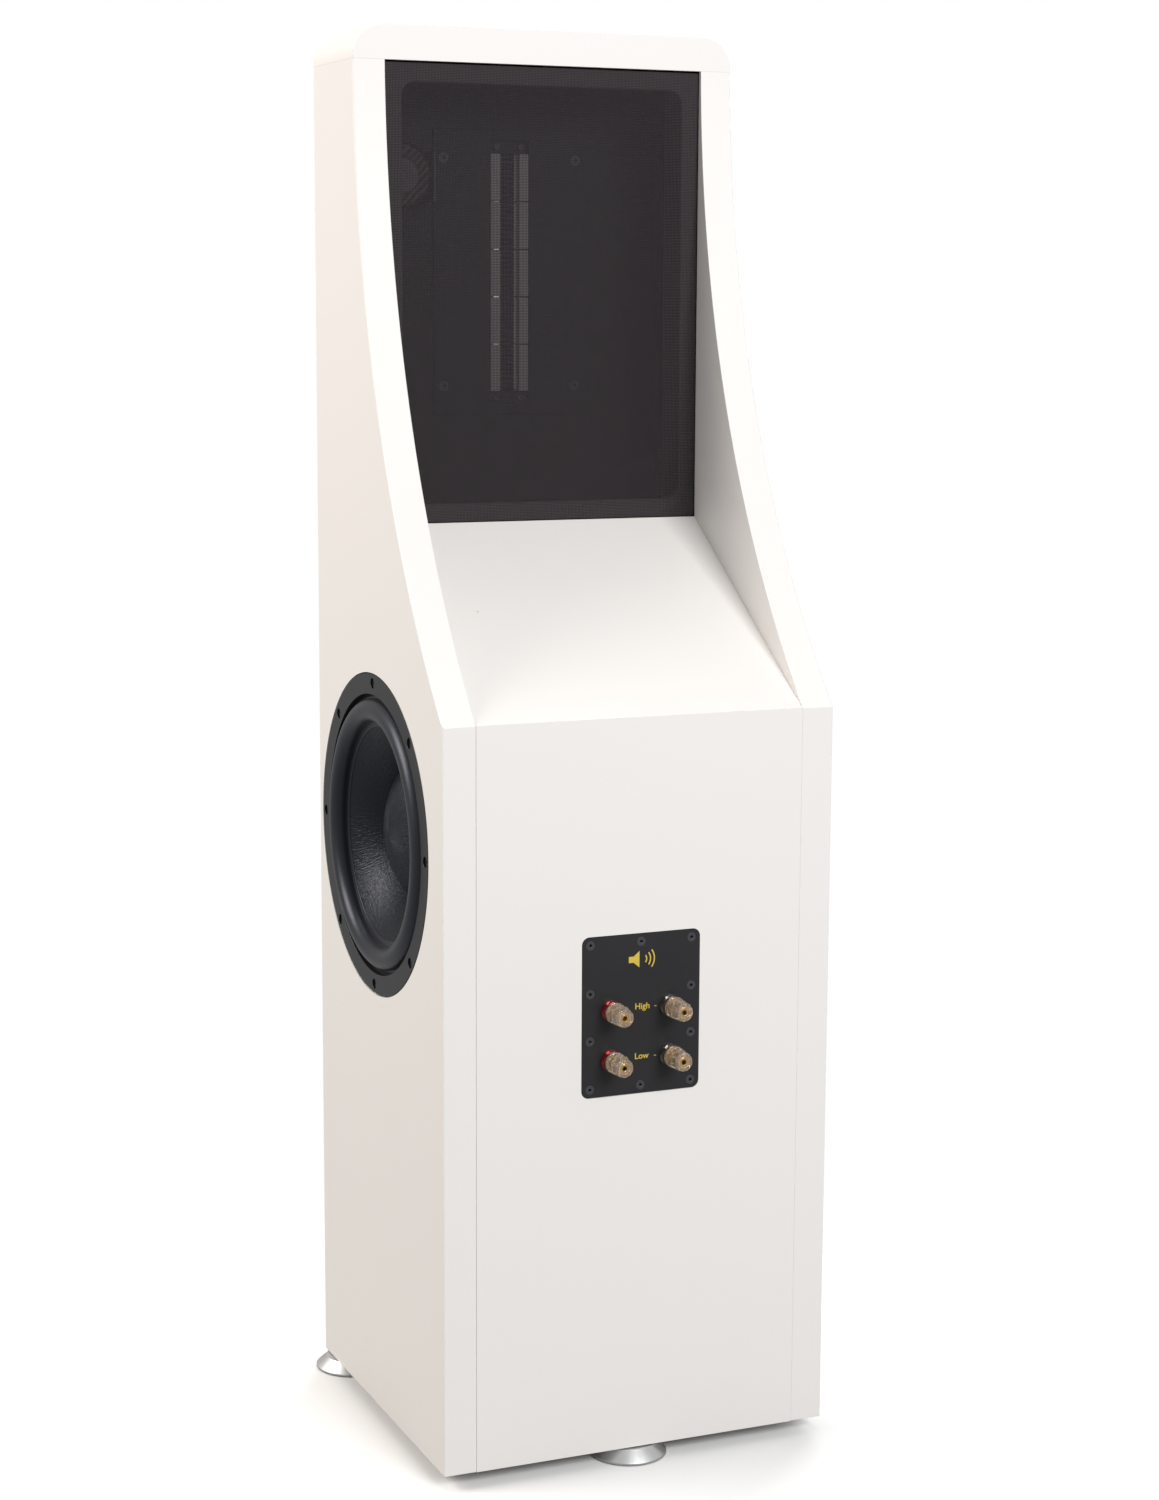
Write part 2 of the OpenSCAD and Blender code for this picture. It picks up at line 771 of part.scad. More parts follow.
module terminal_plate() {
    color("#2a2a2f") cab() at_terminals() difference() {
        translate([0, 0, -term_t]) linear_extrude(term_t) rounded_rect(term_w, term_h, term_corner_r);
        terminal_screw_places() terminal_screw();
        for (side = [-1, 1], z = [high_z, low_z]) translate([side * post_x, z, -term_t - eps])
            cylinder(r = spigot_r, h = term_t + 2 * eps);
    }
}

module terminal_screws() {
    color(BLACK) cab() at_terminals() terminal_screw_places() difference() {
        terminal_screw();
        key_socket(1.4, 2);
    }
}

// Threaded rods with the banana sockets in their outer ends and nuts behind the plate.
module post_studs() {
    color(GOLD) for (side = [-1, 1], z = [high_z, low_z]) at_post(side, z) difference() {
        union() {
            translate([0, 0, -post_tail]) cylinder(r = post_stud_r, h = post_tail + stud_end);
            translate([0, 0, -term_t - nut_t]) cylinder(r = 7, h = nut_t, $fn = 6);
        }
        translate([0, 0, stud_end - banana_depth]) cylinder(r = banana_r, h = banana_depth + eps);
    }
}

module post_collar() {
    rotate_extrude() polygon([[post_stud_r, -term_t], [spigot_r, -term_t], [spigot_r, 0], [collar_r, 0],
        [collar_r, collar_h - 0.8], [collar_r - 0.8, collar_h], [post_stud_r, collar_h]]);
}

module post_collars_plus() {
    color("#a01c24") for (z = [high_z, low_z]) at_post(1, z) post_collar();
}

module post_collars_minus() {
    color("#55504c") for (z = [high_z, low_z]) at_post(-1, z) post_collar();
}

module post_washer() {
    translate([0, 0, collar_h]) difference() {
        cylinder(r = collar_r - 0.5, h = washer_t);
        translate([0, 0, -eps]) cylinder(r = post_bore_r, h = washer_t + 2 * eps);
    }
}

// Fluted, tapering cap with its moulded-in nut.
module post_cap() {
    flutes = 10;
    tip_r = collar_r - 1.5;
    base = collar_h + washer_t;
    translate([0, 0, base]) difference() {
        rotate_extrude() polygon([[post_bore_r, 0], [collar_r - 0.3, 0], [collar_r - 0.3, 2],
            [tip_r, cap_len - 1.5], [tip_r - 1, cap_len], [post_bore_r, cap_len]]);
        for (i = [0 : flutes - 1]) rotate([0, 0, i * 360 / flutes]) translate([tip_r + 0.9, 0, 3.5])
            cylinder(r = 1.5, h = cap_len, $fn = 24);
    }
}

module post_washer_high_plus() {
    color(GOLD) at_post(1, high_z) post_washer();
}

module post_washer_high_minus() {
    color(GOLD) at_post(-1, high_z) post_washer();
}

module post_washer_low_plus() {
    color(GOLD) at_post(1, low_z) post_washer();
}

module post_washer_low_minus() {
    color(GOLD) at_post(-1, low_z) post_washer();
}

module post_cap_high_plus() {
    color("#d9c9a8") at_post(1, high_z) post_cap();
}

module post_cap_high_minus() {
    color("#d9c9a8") at_post(-1, high_z) post_cap();
}

module post_cap_low_plus() {
    color("#d9c9a8") at_post(1, low_z) post_cap();
}

module post_cap_low_minus() {
    color("#d9c9a8") at_post(-1, low_z) post_cap();
}

// ---- Feet ----
pad_t = 2;
pad_r = foot_r - 3.5;
bell_lift = 0.5;
insert_len = stud_len + 7;
foot_x = cab_w / 2 - foot_inset;
foot_places = [[foot_x, foot_inset, 0], [-foot_x, foot_inset, 0], [0, cab_d - foot_inset, 0]];

module foot_holes() {
    for (p = foot_places) translate(p + [0, 0, -eps]) cylinder(r = insert_r, h = insert_len + eps);
}

module foot_inserts() {
    color(STEEL) cab() for (p = foot_places) translate(p) difference() {
        cylinder(r = insert_r, h = insert_len);
        translate([0, 0, -eps]) cylinder(r = stud_r + 0.05, h = insert_len - 1 + eps);
    }
}

// Foot pieces are drawn from the floor up.
module at_foot(i) {
    translate([0, front_y, 0] + foot_places[i]) children();
}

module foot_pad() {
    color(BLACK) cylinder(r = pad_r, h = pad_t);
}

// Turned bell with its stud pressed in.
module foot_bell() {
    shoulder = foot_h - 1.8;
    color(ALU) union() {
        rotate_extrude($fn = 128) polygon([[0, pad_t], [pad_r + slip, pad_t], [pad_r + slip, bell_lift],
            [foot_r - 0.6, bell_lift], [foot_r, bell_lift + 0.6], [foot_r, bell_lift + 2.7],
            [foot_r * 0.81, shoulder], [foot_r * 0.78, shoulder + 0.5], [12, shoulder + 0.5],
            [12, foot_h], [0, foot_h]]);
        translate([0, 0, foot_h - eps]) cylinder(r = stud_r, h = stud_len + eps);
    }
}

module foot_pad_left() {
    at_foot(1) foot_pad();
}

module foot_pad_right() {
    at_foot(0) foot_pad();
}

module foot_pad_rear() {
    at_foot(2) foot_pad();
}

module foot_bell_left() {
    at_foot(1) foot_bell();
}

module foot_bell_right() {
    at_foot(0) foot_bell();
}

module foot_bell_rear() {
    at_foot(2) foot_bell();
}

// ---- Crossover and wiring ----
board_w = 200;
board_d = 150;
board_t = 2;
board_y = 150;
standoff = 8;
board_top = panel_t + standoff + board_t;

module at_board() {
    translate([0, board_y, 0]) children();
}

module crossover_board() {
    color("#3b5a34") cab() at_board() union() {
        translate([-board_w / 2, -board_d / 2, panel_t + standoff]) cube([board_w, board_d, board_t]);
        for (x = [-1, 1], y = [-1, 1]) translate([x * (board_w / 2 - 8), y * (board_d / 2 - 8), panel_t])
            cylinder(r = 4, h = standoff + eps, $fn = 32);
    }
}

// Each coil is [x, y, outer radius, height].
coils = [[-60, -30, 32, 30], [25, -35, 26, 24], [-55, 45, 20, 18]];

module crossover_coils() {
    color("#b87333") cab() at_board() for (coil = coils)
        translate([coil[0], coil[1], board_top]) difference() {
            cylinder(r = coil[2], h = coil[3]);
            translate([0, 0, -eps]) cylinder(r = coil[2] * 0.45, h = coil[3] + 2 * eps);
        }
}

// Film capacitors lie side by side, each with flat feet on the board.
module crossover_capacitors() {
    cap_body_r = 12;
    cap_body_len = 48;
    color("#8f1f1f") cab() at_board() for (i = [0 : 2])
        translate([15 + i * (2 * cap_body_r + 3), 10, board_top]) union() {
            translate([0, 0, cap_body_r]) to_y() cylinder(r = cap_body_r, h = cap_body_len);
            translate([-4, 4, 0]) cube([8, cap_body_len - 8, cap_body_r]);
        }
}

// One wire from each post's tail, forwards and then down to the board.
module internal_wires() {
    wire_r = 1.5;
    bead_r = 1.9;
    back_y = board_y + board_d / 2 - 6;
    color("#7a1a1a") cab() for (side = [-1, 1], z = [high_z, low_z]) {
        drop_y = z == high_z ? back_y - 8 : back_y;
        translate([side * post_x, drop_y, term_z + z]) to_y()
            cylinder(r = wire_r, h = cab_d - post_tail - drop_y);
        translate([side * post_x, drop_y, term_z + z]) sphere(bead_r);
        translate([side * post_x, drop_y, board_top]) cylinder(r = wire_r, h = term_z + z - board_top);
    }
}

side_panel_woofer();
side_panel_plain();
top_cap();
rear_panel();
slope_panel();
base_panel();
front_baffle();
compartment_shelf();
window_brace();
mid_pot();
ribbon_faceplate();
ribbon_rear_plate();
ribbon_magnets();
ribbon_foil();
ribbon_clamps();
ribbon_screws();
matching_transformer();
transformer_bracket();
grille_frame();
grille_cloth();
grille_battens();
woofer_basket();
woofer_magnet();
woofer_pole_plates();
woofer_cone();
woofer_dust_cap();
woofer_voice_coil();
woofer_surround();
woofer_spider();
woofer_screws();
mid_basket();
mid_motor();
mid_cone();
mid_surround();
mid_spider();
mid_screws();
terminal_plate();
terminal_screws();
post_studs();
post_collars_plus();
post_collars_minus();
post_washer_high_plus();
post_washer_high_minus();
post_washer_low_plus();
post_washer_low_minus();
post_cap_high_plus();
post_cap_high_minus();
post_cap_low_plus();
post_cap_low_minus();
foot_inserts();
foot_pad_left();
foot_pad_right();
foot_pad_rear();
foot_bell_left();
foot_bell_right();
foot_bell_rear();
crossover_board();
crossover_coils();
crossover_capacitors();
internal_wires();
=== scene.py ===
import math

import bmesh
import bpy
from mathutils import Matrix, Vector


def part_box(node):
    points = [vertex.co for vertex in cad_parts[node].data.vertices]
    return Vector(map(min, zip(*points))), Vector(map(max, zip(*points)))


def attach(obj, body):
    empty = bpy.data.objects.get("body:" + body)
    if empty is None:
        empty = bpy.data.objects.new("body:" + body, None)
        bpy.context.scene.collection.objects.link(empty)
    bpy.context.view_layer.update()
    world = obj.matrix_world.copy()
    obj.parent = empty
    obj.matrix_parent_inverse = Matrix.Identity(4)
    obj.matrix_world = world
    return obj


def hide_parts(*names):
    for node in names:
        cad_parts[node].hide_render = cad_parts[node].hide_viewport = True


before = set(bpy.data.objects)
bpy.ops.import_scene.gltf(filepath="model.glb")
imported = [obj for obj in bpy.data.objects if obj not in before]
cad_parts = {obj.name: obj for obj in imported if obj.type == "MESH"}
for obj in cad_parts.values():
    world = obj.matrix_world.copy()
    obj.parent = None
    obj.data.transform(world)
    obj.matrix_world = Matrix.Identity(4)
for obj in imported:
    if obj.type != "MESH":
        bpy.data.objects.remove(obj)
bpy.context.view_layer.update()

# ---- Camera ----
# A long lens at chest height, behind the speaker and to its woofer side, about two and a half
# metres away. Every place is measured from the cabinet's front face and underside.
MM = 0.001
cabinet_low, cabinet_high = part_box("side_panel_plain")
FRONT, UNDER = cabinet_low.y, cabinet_low.z
scene = bpy.context.scene

azimuth, elevation, roll = math.radians(157.14), math.radians(8.933), math.radians(0.275)
camera_data = bpy.data.cameras.new("camera")
camera_data.lens = 68.44
camera_data.clip_start = 0.05
camera = bpy.data.objects.new("camera", camera_data)
scene.collection.objects.link(camera)
scene.camera = camera
back = Vector((math.sin(azimuth) * math.cos(elevation), -math.cos(azimuth) * math.cos(elevation),
               math.sin(elevation)))
level = Vector((0, 0, 1)).cross(back).normalized()
turn = Matrix((level, back.cross(level), back)).transposed().to_4x4() @ Matrix.Rotation(roll, 4, "Z")
camera.matrix_world = Matrix.Translation((0.918, 2.3591 + FRONT, 0.9357 + UNDER)) @ turn

# ---- Studio ----
# A white paper sweep that fades into a white room, with big soft lights on the woofer's side,
# behind the speaker, before its plain side and overhead.


def srgb(code):
    """Turns an sRGB hex colour into the linear colour that the shaders take."""
    parts = [int(code[i:i + 2], 16) / 255 for i in (1, 3, 5)]
    return tuple(c / 12.92 if c <= 0.04045 else ((c + 0.055) / 1.055) ** 2.4 for c in parts) + (1,)


def add(finish, kind, settings=()):
    """Adds a node to a finish. A setting is the node's own, a socket's value or a link."""
    made = finish.node_tree.nodes.new("ShaderNode" + kind)
    for key, value in dict(settings).items():
        if isinstance(key, str) and hasattr(made, key):
            setattr(made, key, value)
        elif isinstance(value, bpy.types.NodeSocket):
            finish.node_tree.links.new(value, made.inputs[key])
        else:
            made.inputs[key].default_value = value
    return made


def new_finish(name, colour, roughness, settings=()):
    """A named finish, with its shader's fixed values. Returns the finish and its shader."""
    finish = bpy.data.materials.new(name)
    finish.use_nodes = True
    shader = finish.node_tree.nodes["Principled BSDF"]
    shader.inputs["Base Color"].default_value = srgb(colour)
    shader.inputs["Roughness"].default_value = roughness
    for key, value in dict(settings).items():
        shader.inputs[key].default_value = value
    return finish, shader


def wire(finish, source, target):
    finish.node_tree.links.new(source, target)


scene.view_settings.view_transform = "Standard"
world = bpy.data.worlds.new("studio")
world.use_nodes = True
sky = world.node_tree.nodes["Background"]
sky.inputs["Color"].default_value = (1, 1, 1, 1)
seen = add(world, "LightPath")
strength = add(world, "MapRange", {"Value": seen.outputs["Is Camera Ray"], "To Min": 0.42, "To Max": 1.0})
wire(world, strength.outputs["Result"], sky.inputs["Strength"])
scene.world = world

floor_finish, floor_shader = new_finish("white_paper_sweep", "#dedede", 0.9)
coord = add(floor_finish, "TexCoord")
# The sweep shows nearly white but throws little light back, so the boards darken towards it.
looked_at = add(floor_finish, "LightPath")
bounce = add(floor_finish, "MapRange", {"Value": looked_at.outputs["Is Camera Ray"], "To Min": 0.33,
                                        "To Max": 0.84})
wire(floor_finish, bounce.outputs["Result"], floor_shader.inputs["Base Color"])
reach = add(floor_finish, "VectorMath", {"operation": "LENGTH", 0: coord.outputs["Object"]})
fade = add(floor_finish, "MapRange", {"Value": reach.outputs["Value"], "interpolation_type": "SMOOTHSTEP",
                                      "From Min": 0.2, "From Max": 0.72, "To Min": 1.0, "To Max": 0.0})
wire(floor_finish, fade.outputs["Result"], floor_shader.inputs["Alpha"])
bm = bmesh.new()
bmesh.ops.create_circle(bm, cap_ends=True, segments=96, radius=0.75)
floor_mesh = bpy.data.meshes.new("studio_floor")
bm.to_mesh(floor_mesh)
bm.free()
floor_mesh.materials.append(floor_finish)
studio_floor = bpy.data.objects.new("studio_floor", floor_mesh)
scene.collection.objects.link(studio_floor)


def soft_light(name, place, size, power, tint):
    """A square soft box, aimed at the middle of the cabinet."""
    data = bpy.data.lights.new(name, "AREA")
    data.size = size
    data.energy = power
    data.color = srgb(tint)[:3]
    lamp = bpy.data.objects.new(name, data)
    scene.collection.objects.link(lamp)
    lamp.location = place
    lamp.rotation_mode = "QUATERNION"
    lamp.rotation_quaternion = (Vector(place) - Vector((0, 0, 0.6))).to_track_quat("Z", "Y")


soft_light("woofer_side_light", (2.8, -0.8, 2.4), 1.6, 94, "#fff7ee")
soft_light("rear_light", (-0.7, 3.6, 2.5), 1.8, 134, "#ffffff")
soft_light("front_light", (-2.4, -2.9, 1.9), 2.0, 105, "#ffffff")
soft_light("overhead_light", (0.0, -1.2, 3.8), 1.6, 24, "#ffffff")

# ---- Cabinet boards ----
# Medium-density board, butt-jointed, sanded and sprayed with satin white lacquer. The lacquer has
# a faint orange peel and a few dust nibs, and every joint stays visible as a fine line.


def grain(finish, shader, scale, strength, depth, detail=2):
    """Gives a finish a fine random relief, depth in metres."""
    coord = add(finish, "TexCoord")
    noise = add(finish, "TexNoise", {"Vector": coord.outputs["Object"], "Scale": scale, "Detail": detail})
    bump = add(finish, "Bump", {"Height": noise.outputs["Fac"], "Strength": strength, "Distance": depth})
    wire(finish, bump.outputs["Normal"], shader.inputs["Normal"])


def sheen(finish, shader, scale, smoothest, roughest, detail=2):
    """Lets a finish's roughness drift between two values."""
    coord = add(finish, "TexCoord")
    noise = add(finish, "TexNoise", {"Vector": coord.outputs["Object"], "Scale": scale, "Detail": detail})
    drift = add(finish, "MapRange", {"Value": noise.outputs["Fac"], "To Min": smoothest, "To Max": roughest})
    wire(finish, drift.outputs["Result"], shader.inputs["Roughness"])


lacquer, shader = new_finish("satin_white_lacquer", "#e6e3e0", 0.36, {"IOR": 1.5})
grain(lacquer, shader, 320, 0.10, 0.0003)
sheen(lacquer, shader, 6, 0.42, 0.52, 3)
coord = add(lacquer, "TexCoord")
nib = add(lacquer, "TexVoronoi", {"Vector": coord.outputs["Object"], "Scale": 9})
nib_dot = add(lacquer, "MapRange", {"Value": nib.outputs["Distance"], "From Min": 0.006, "From Max": 0.013,
                                    "To Min": 0.7, "To Max": 0.0})
white = add(lacquer, "MixRGB", {"Fac": nib_dot.outputs["Result"], "Color1": srgb("#e6e3e0"),
                                "Color2": srgb("#a8a29a")})
# Behind the grille the boards are coloured near black, so the space behind its cloth shows dark.
room_half, room_front, cloth_t = 143 * MM, 17.5 * MM, 0.6 * MM
shelf_top, cap_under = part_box("compartment_shelf")[1].z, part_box("top_cap")[0].z
room_low = Vector((-room_half, FRONT + room_front, shelf_top - 1 * MM))
room_high = Vector((room_half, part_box("grille_cloth")[1].y - cloth_t, cap_under + 0.5 * MM))
from_middle = add(lacquer, "VectorMath", {"operation": "SUBTRACT", 0: coord.outputs["Object"],
                                          1: (room_low + room_high) / 2})
distance = add(lacquer, "VectorMath", {"operation": "ABSOLUTE", 0: from_middle.outputs["Vector"]})
past = add(lacquer, "VectorMath", {"operation": "SUBTRACT", 0: distance.outputs["Vector"],
                                   1: (room_high - room_low) / 2})
sides = add(lacquer, "SeparateXYZ", {"Vector": past.outputs["Vector"]})
widest = add(lacquer, "Math", {"operation": "MAXIMUM", 0: sides.outputs["X"], 1: sides.outputs["Y"]})
furthest = add(lacquer, "Math", {"operation": "MAXIMUM", 0: widest.outputs["Value"], 1: sides.outputs["Z"]})
masked = add(lacquer, "Math", {"operation": "LESS_THAN", 0: furthest.outputs["Value"], 1: 0.0})
tone = add(lacquer, "MixRGB", {"Fac": masked.outputs["Value"], "Color1": white.outputs["Color"],
                               "Color2": srgb("#121112")})
wire(lacquer, tone.outputs["Color"], shader.inputs["Base Color"])


def add_piece(name, bm, finishes, replaces=(), body="cabinet", smooth=32, edge=0, solid=0, flats=False):
    """Makes a shape a finished piece that rides on a body and may stand for CAD nodes."""
    mesh = bpy.data.meshes.new(name)
    bm.to_mesh(mesh)
    bm.free()
    for finish in finishes:
        mesh.materials.append(finish)
    mesh.shade_smooth()
    mesh.set_sharp_from_angle(angle=math.radians(smooth))
    made = bpy.data.objects.new(name, mesh)
    scene.collection.objects.link(made)
    if solid:
        wall = made.modifiers.new("wall", "SOLIDIFY")
        wall.thickness = solid * MM
        wall.offset = -1
    if edge:
        round_off = made.modifiers.new("edge", "BEVEL")
        round_off.width = edge * MM
        round_off.segments = 2
        round_off.limit_method = "ANGLE"
        round_off.angle_limit = math.radians(30)
    if edge or flats:
        true_up = made.modifiers.new("true_flats", "WEIGHTED_NORMAL")
        true_up.mode = "FACE_AREA"
        true_up.weight = 70
        true_up.keep_sharp = True
    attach(made, body)
    if replaces:
        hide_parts(*replaces)
    return made


def points_of(made):
    """The points among what a bmesh operator made."""
    return [v for v in made["geom"] if isinstance(v, bmesh.types.BMVert)]


def copy_of(node):
    """A CAD node's own shape with its loose triangles joined and its flats made whole."""
    bm = bmesh.new()
    bm.from_mesh(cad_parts[node].data)
    bmesh.ops.remove_doubles(bm, verts=bm.verts, dist=0.003 * MM)
    bmesh.ops.dissolve_limit(bm, angle_limit=math.radians(0.5), verts=bm.verts, edges=bm.edges,
                             use_dissolve_boundaries=False)
    return bm


def turned(outline, place, steps=128, closed=False):
    """A turned shape. Each point of its half section is (radius, height) or (radius, height,
    rounding) in mm; (radius, height, sweep, steps) swings an arc about that centre."""
    bm = bmesh.new()
    line, rounded = [], []
    for point in outline:
        if len(point) == 4:
            swung = bmesh.ops.spin(bm, geom=[line[-1]], cent=(point[0] * MM, 0, point[1] * MM),
                                   axis=(0, 1, 0), angle=math.radians(point[2]), steps=point[3])
            line.append([v for v in swung["geom_last"] if isinstance(v, bmesh.types.BMVert)][0])
            continue
        line.append(bm.verts.new((point[0] * MM, 0, point[1] * MM)))
        if len(line) > 1:
            bm.edges.new((line[-2], line[-1]))
        if len(point) == 3:
            rounded.append((line[-1], point[2]))
    if closed:
        bm.edges.new((line[-1], line[0]))
    for corner, size in rounded:
        bmesh.ops.bevel(bm, geom=[corner], offset=size * MM, segments=4, profile=0.5, affect="VERTICES",
                        material=-1)
    bmesh.ops.spin(bm, geom=bm.verts[:] + bm.edges[:], cent=(0, 0, 0), axis=(0, 0, 1), angle=math.tau,
                   steps=steps, use_merge=True)
    bmesh.ops.remove_doubles(bm, verts=bm.verts, dist=0.002 * MM)
    bmesh.ops.recalc_face_normals(bm, faces=bm.faces)
    bm.transform(place)
    return bm


def cut(bm, cutter):
    """Takes one shape out of another."""
    pair = []
    for shape in (bm, cutter):
        mesh = bpy.data.meshes.new("cut_stock")
        shape.to_mesh(mesh)
        shape.free()
        pair.append(bpy.data.objects.new("cut_stock", mesh))
        scene.collection.objects.link(pair[-1])
    saw = pair[0].modifiers.new("saw", "BOOLEAN")
    saw.operation = "DIFFERENCE"
    saw.solver = "EXACT"
    saw.object = pair[1]
    done = bpy.data.meshes.new_from_object(pair[0].evaluated_get(bpy.context.evaluated_depsgraph_get()))
    result = bmesh.new()
    result.from_mesh(done)
    for stock in pair:
        bpy.data.objects.remove(stock)
    return result


woofer_low, woofer_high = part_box("woofer_basket")
woofer_axis = Matrix.Translation((woofer_high.x, (woofer_low.y + woofer_high.y) / 2,
                                  (woofer_low.z + woofer_high.z) / 2)) @ Matrix.Rotation(math.pi / 2, 4, "Y")
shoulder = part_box("rear_panel")[1]
cap_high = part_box("top_cap")[1]


def side_board(node):
    """One side panel, with its upper rear edge swung on a single radius. Its top stays square,
    where the cap is jointed on."""
    sweep_r = 796 * MM
    outer_edge, joint_edge = 1.3 * MM, 0.8 * MM
    low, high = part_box(node)
    tiny = 1e-5
    outside = max(low.x, high.x, key=abs)
    inside = min(low.x, high.x, key=abs)
    chord = Vector((0, cap_high.y - high.y, high.z - shoulder.z))
    rise = math.sqrt(sweep_r ** 2 - chord.length ** 2 / 4)
    middle = Vector((inside, (cap_high.y + high.y) / 2, (high.z + shoulder.z) / 2))
    centre = middle + Vector((0, chord.z, -chord.y)).normalized() * rise
    swing = 2 * math.asin(chord.length / 2 / sweep_r)
    bm = bmesh.new()
    start = bm.verts.new((inside, high.y, shoulder.z))
    bmesh.ops.spin(bm, geom=[start], cent=centre, axis=(1, 0, 0), angle=-swing, steps=96)
    arc = sorted(bm.verts, key=lambda v: v.co.z)
    corners = [bm.verts.new((inside, y, z)) for y, z in
               ((low.y, high.z), (low.y, low.z), (high.y, low.z))]
    face = bm.faces.new(arc + corners)
    pushed = bmesh.ops.extrude_face_region(bm, geom=[face])
    bmesh.ops.translate(bm, vec=(outside - inside, 0, 0), verts=points_of(pushed))
    bmesh.ops.recalc_face_normals(bm, faces=bm.faces)
    for x, size, steps in ((outside, outer_edge, 4), (inside, joint_edge, 2)):
        rim = [e for e in bm.edges if all(abs(v.co.x - x) < tiny for v in e.verts)
               and min(v.co.z for v in e.verts) < high.z - tiny]
        bmesh.ops.bevel(bm, geom=rim, offset=size, segments=steps, profile=0.5, affect="EDGES",
                        material=-1)
    ends = [e for e in bm.edges if e.calc_face_angle(0) > math.radians(20)
            and abs(e.verts[0].co.x - e.verts[1].co.x) > 20 * MM
            and min(v.co.z for v in e.verts) < high.z - tiny]
    bmesh.ops.bevel(bm, geom=ends, offset=joint_edge, segments=2, profile=0.5, affect="EDGES", material=-1)
    return bm


plain_side = side_board("side_panel_plain")
add_piece("plain_side_board", plain_side, [lacquer], ["side_panel_plain"], flats=True)
woofer_rebate = turned([(0, 3), (135.5, 3), (135.5, -8), (117.5, -8), (117.5, -40), (0, -40)],
                       woofer_axis, 192)
woofer_side = cut(side_board("side_panel_woofer"), woofer_rebate)
add_piece("woofer_side_board", woofer_side, [lacquer], ["side_panel_woofer"], flats=True)

for node, edge in (("top_cap", 0.25), ("rear_panel", 0.8), ("slope_panel", 0.4), ("base_panel", 0.4),
                   ("front_baffle", 0.4)):
    add_piece(node + "_board", copy_of(node), [lacquer], [node], edge=edge)


def repaint(finish, *nodes):
    """Gives CAD nodes that stay as they are a finish of their own."""
    for node in nodes:
        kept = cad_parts[node]
        if not kept.material_slots:
            kept.data.materials.append(finish)
        for place in kept.material_slots:
            place.material = finish


repaint(lacquer, "compartment_shelf")

# ---- Brace and midrange pot ----
# Inside the cabinet: a birch-ply window brace with its plies showing, and a moulded pot that keeps
# the woofer's air away from the midrange driver.
# Crossed plies, cut through, give pale and darker stripes.
birch, shader = new_finish("birch_ply", "#c9a06c", 0.6)
coord = add(birch, "TexCoord")
plies = add(birch, "TexWave", {"Vector": coord.outputs["Object"], "bands_direction": "Z", "Scale": 110,
                               "Distortion": 1.2, "Detail": 2})
birch_tone = add(birch, "MixRGB", {"Fac": plies.outputs["Fac"], "Color1": srgb("#b98d5b"),
                                   "Color2": srgb("#d8b483")})
wire(birch, birch_tone.outputs["Color"], shader.inputs["Base Color"])
repaint(birch, "window_brace")

# The mould's etched face leaves the plastic dull and finely grained.
moulding, shader = new_finish("moulded_black_abs", "#1d1d1e", 0.45)
grain(moulding, shader, 900, 0.25, 0.0002)
repaint(moulding, "mid_pot")

# ---- Feet ----
# Solid aluminium bells, turned and left bright, with the tool's fine rings on them. Each has a
# threaded stud pressed in that screws into a steel insert, and stands on a rubber pad.


def ridges(finish, shader, way, scale, strength, depth, distortion=0.0):
    """Gives a finish even ridges along one way, depth in metres."""
    coord = add(finish, "TexCoord")
    waves = add(finish, "TexWave", {"Vector": coord.outputs["Object"], "bands_direction": way,
                                    "Scale": scale, "Distortion": distortion})
    bump = add(finish, "Bump", {"Height": waves.outputs["Fac"], "Strength": strength, "Distance": depth})
    wire(finish, bump.outputs["Normal"], shader.inputs["Normal"])


# The fine tool rings draw the lights out into soft streaks across the bell.
bright_aluminium, shader = new_finish("bright_turned_aluminium", "#dcdddd", 0.3, {"Metallic": 1.0})
ridges(bright_aluminium, shader, "Z", 520, 0.12, 0.0002, 0.4)
sheen(bright_aluminium, shader, 60, 0.36, 0.5, 3)

# Moulded rubber is matt, with no highlight of its own.
pad_rubber, shader = new_finish("moulded_foot_rubber", "#161616", 0.7)
grain(pad_rubber, shader, 1500, 0.3, 0.0001)

stud_r, root_r, pitch, turns = 4.95, 4.3, 1.25, 13
for side in ("left", "right", "rear"):
    low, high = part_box("foot_bell_" + side)
    place = Matrix.Translation(((low.x + high.x) / 2, (low.y + high.y) / 2, 0))
    thread = [point for i in range(turns)
              for point in ((stud_r, 13.5 + pitch * i), (root_r, 14.1 + pitch * i))]
    bell = turned([(0, 2.02), (29, 2.02), (29, 0.5), (31.6, 0.5, 0.3), (32, 1.0, 0.3), (32, 2.6, 0.4),
                   (23.6, 10.2, 0.5), (23.0, 10.8, 0.2), (12, 10.8), (12, 11.99),
                   (stud_r, 11.99)] + thread + [(4.2, 29.5), (0, 29.5)], place, 160)
    add_piece("bright_bell_" + side, bell, [bright_aluminium], ["foot_bell_" + side],
              body="foot_" + side)
    pad = turned([(0, 0), (28.1, 0, 0.4), (28.5, 2.0, 0.2), (0, 2.0)], place, 96)
    add_piece("rubber_pad_" + side, pad, [pad_rubber], ["foot_pad_" + side],
              body="foot_carrier_" + side)

# Zinc plating is bright, with a bluish bloom that dulls it in patches.
zinc, shader = new_finish("zinc_plated_steel", "#b9bcc0", 0.32, {"Metallic": 1.0})
sheen(zinc, shader, 400, 0.25, 0.45, 3)
repaint(zinc, "foot_inserts", "woofer_pole_plates")

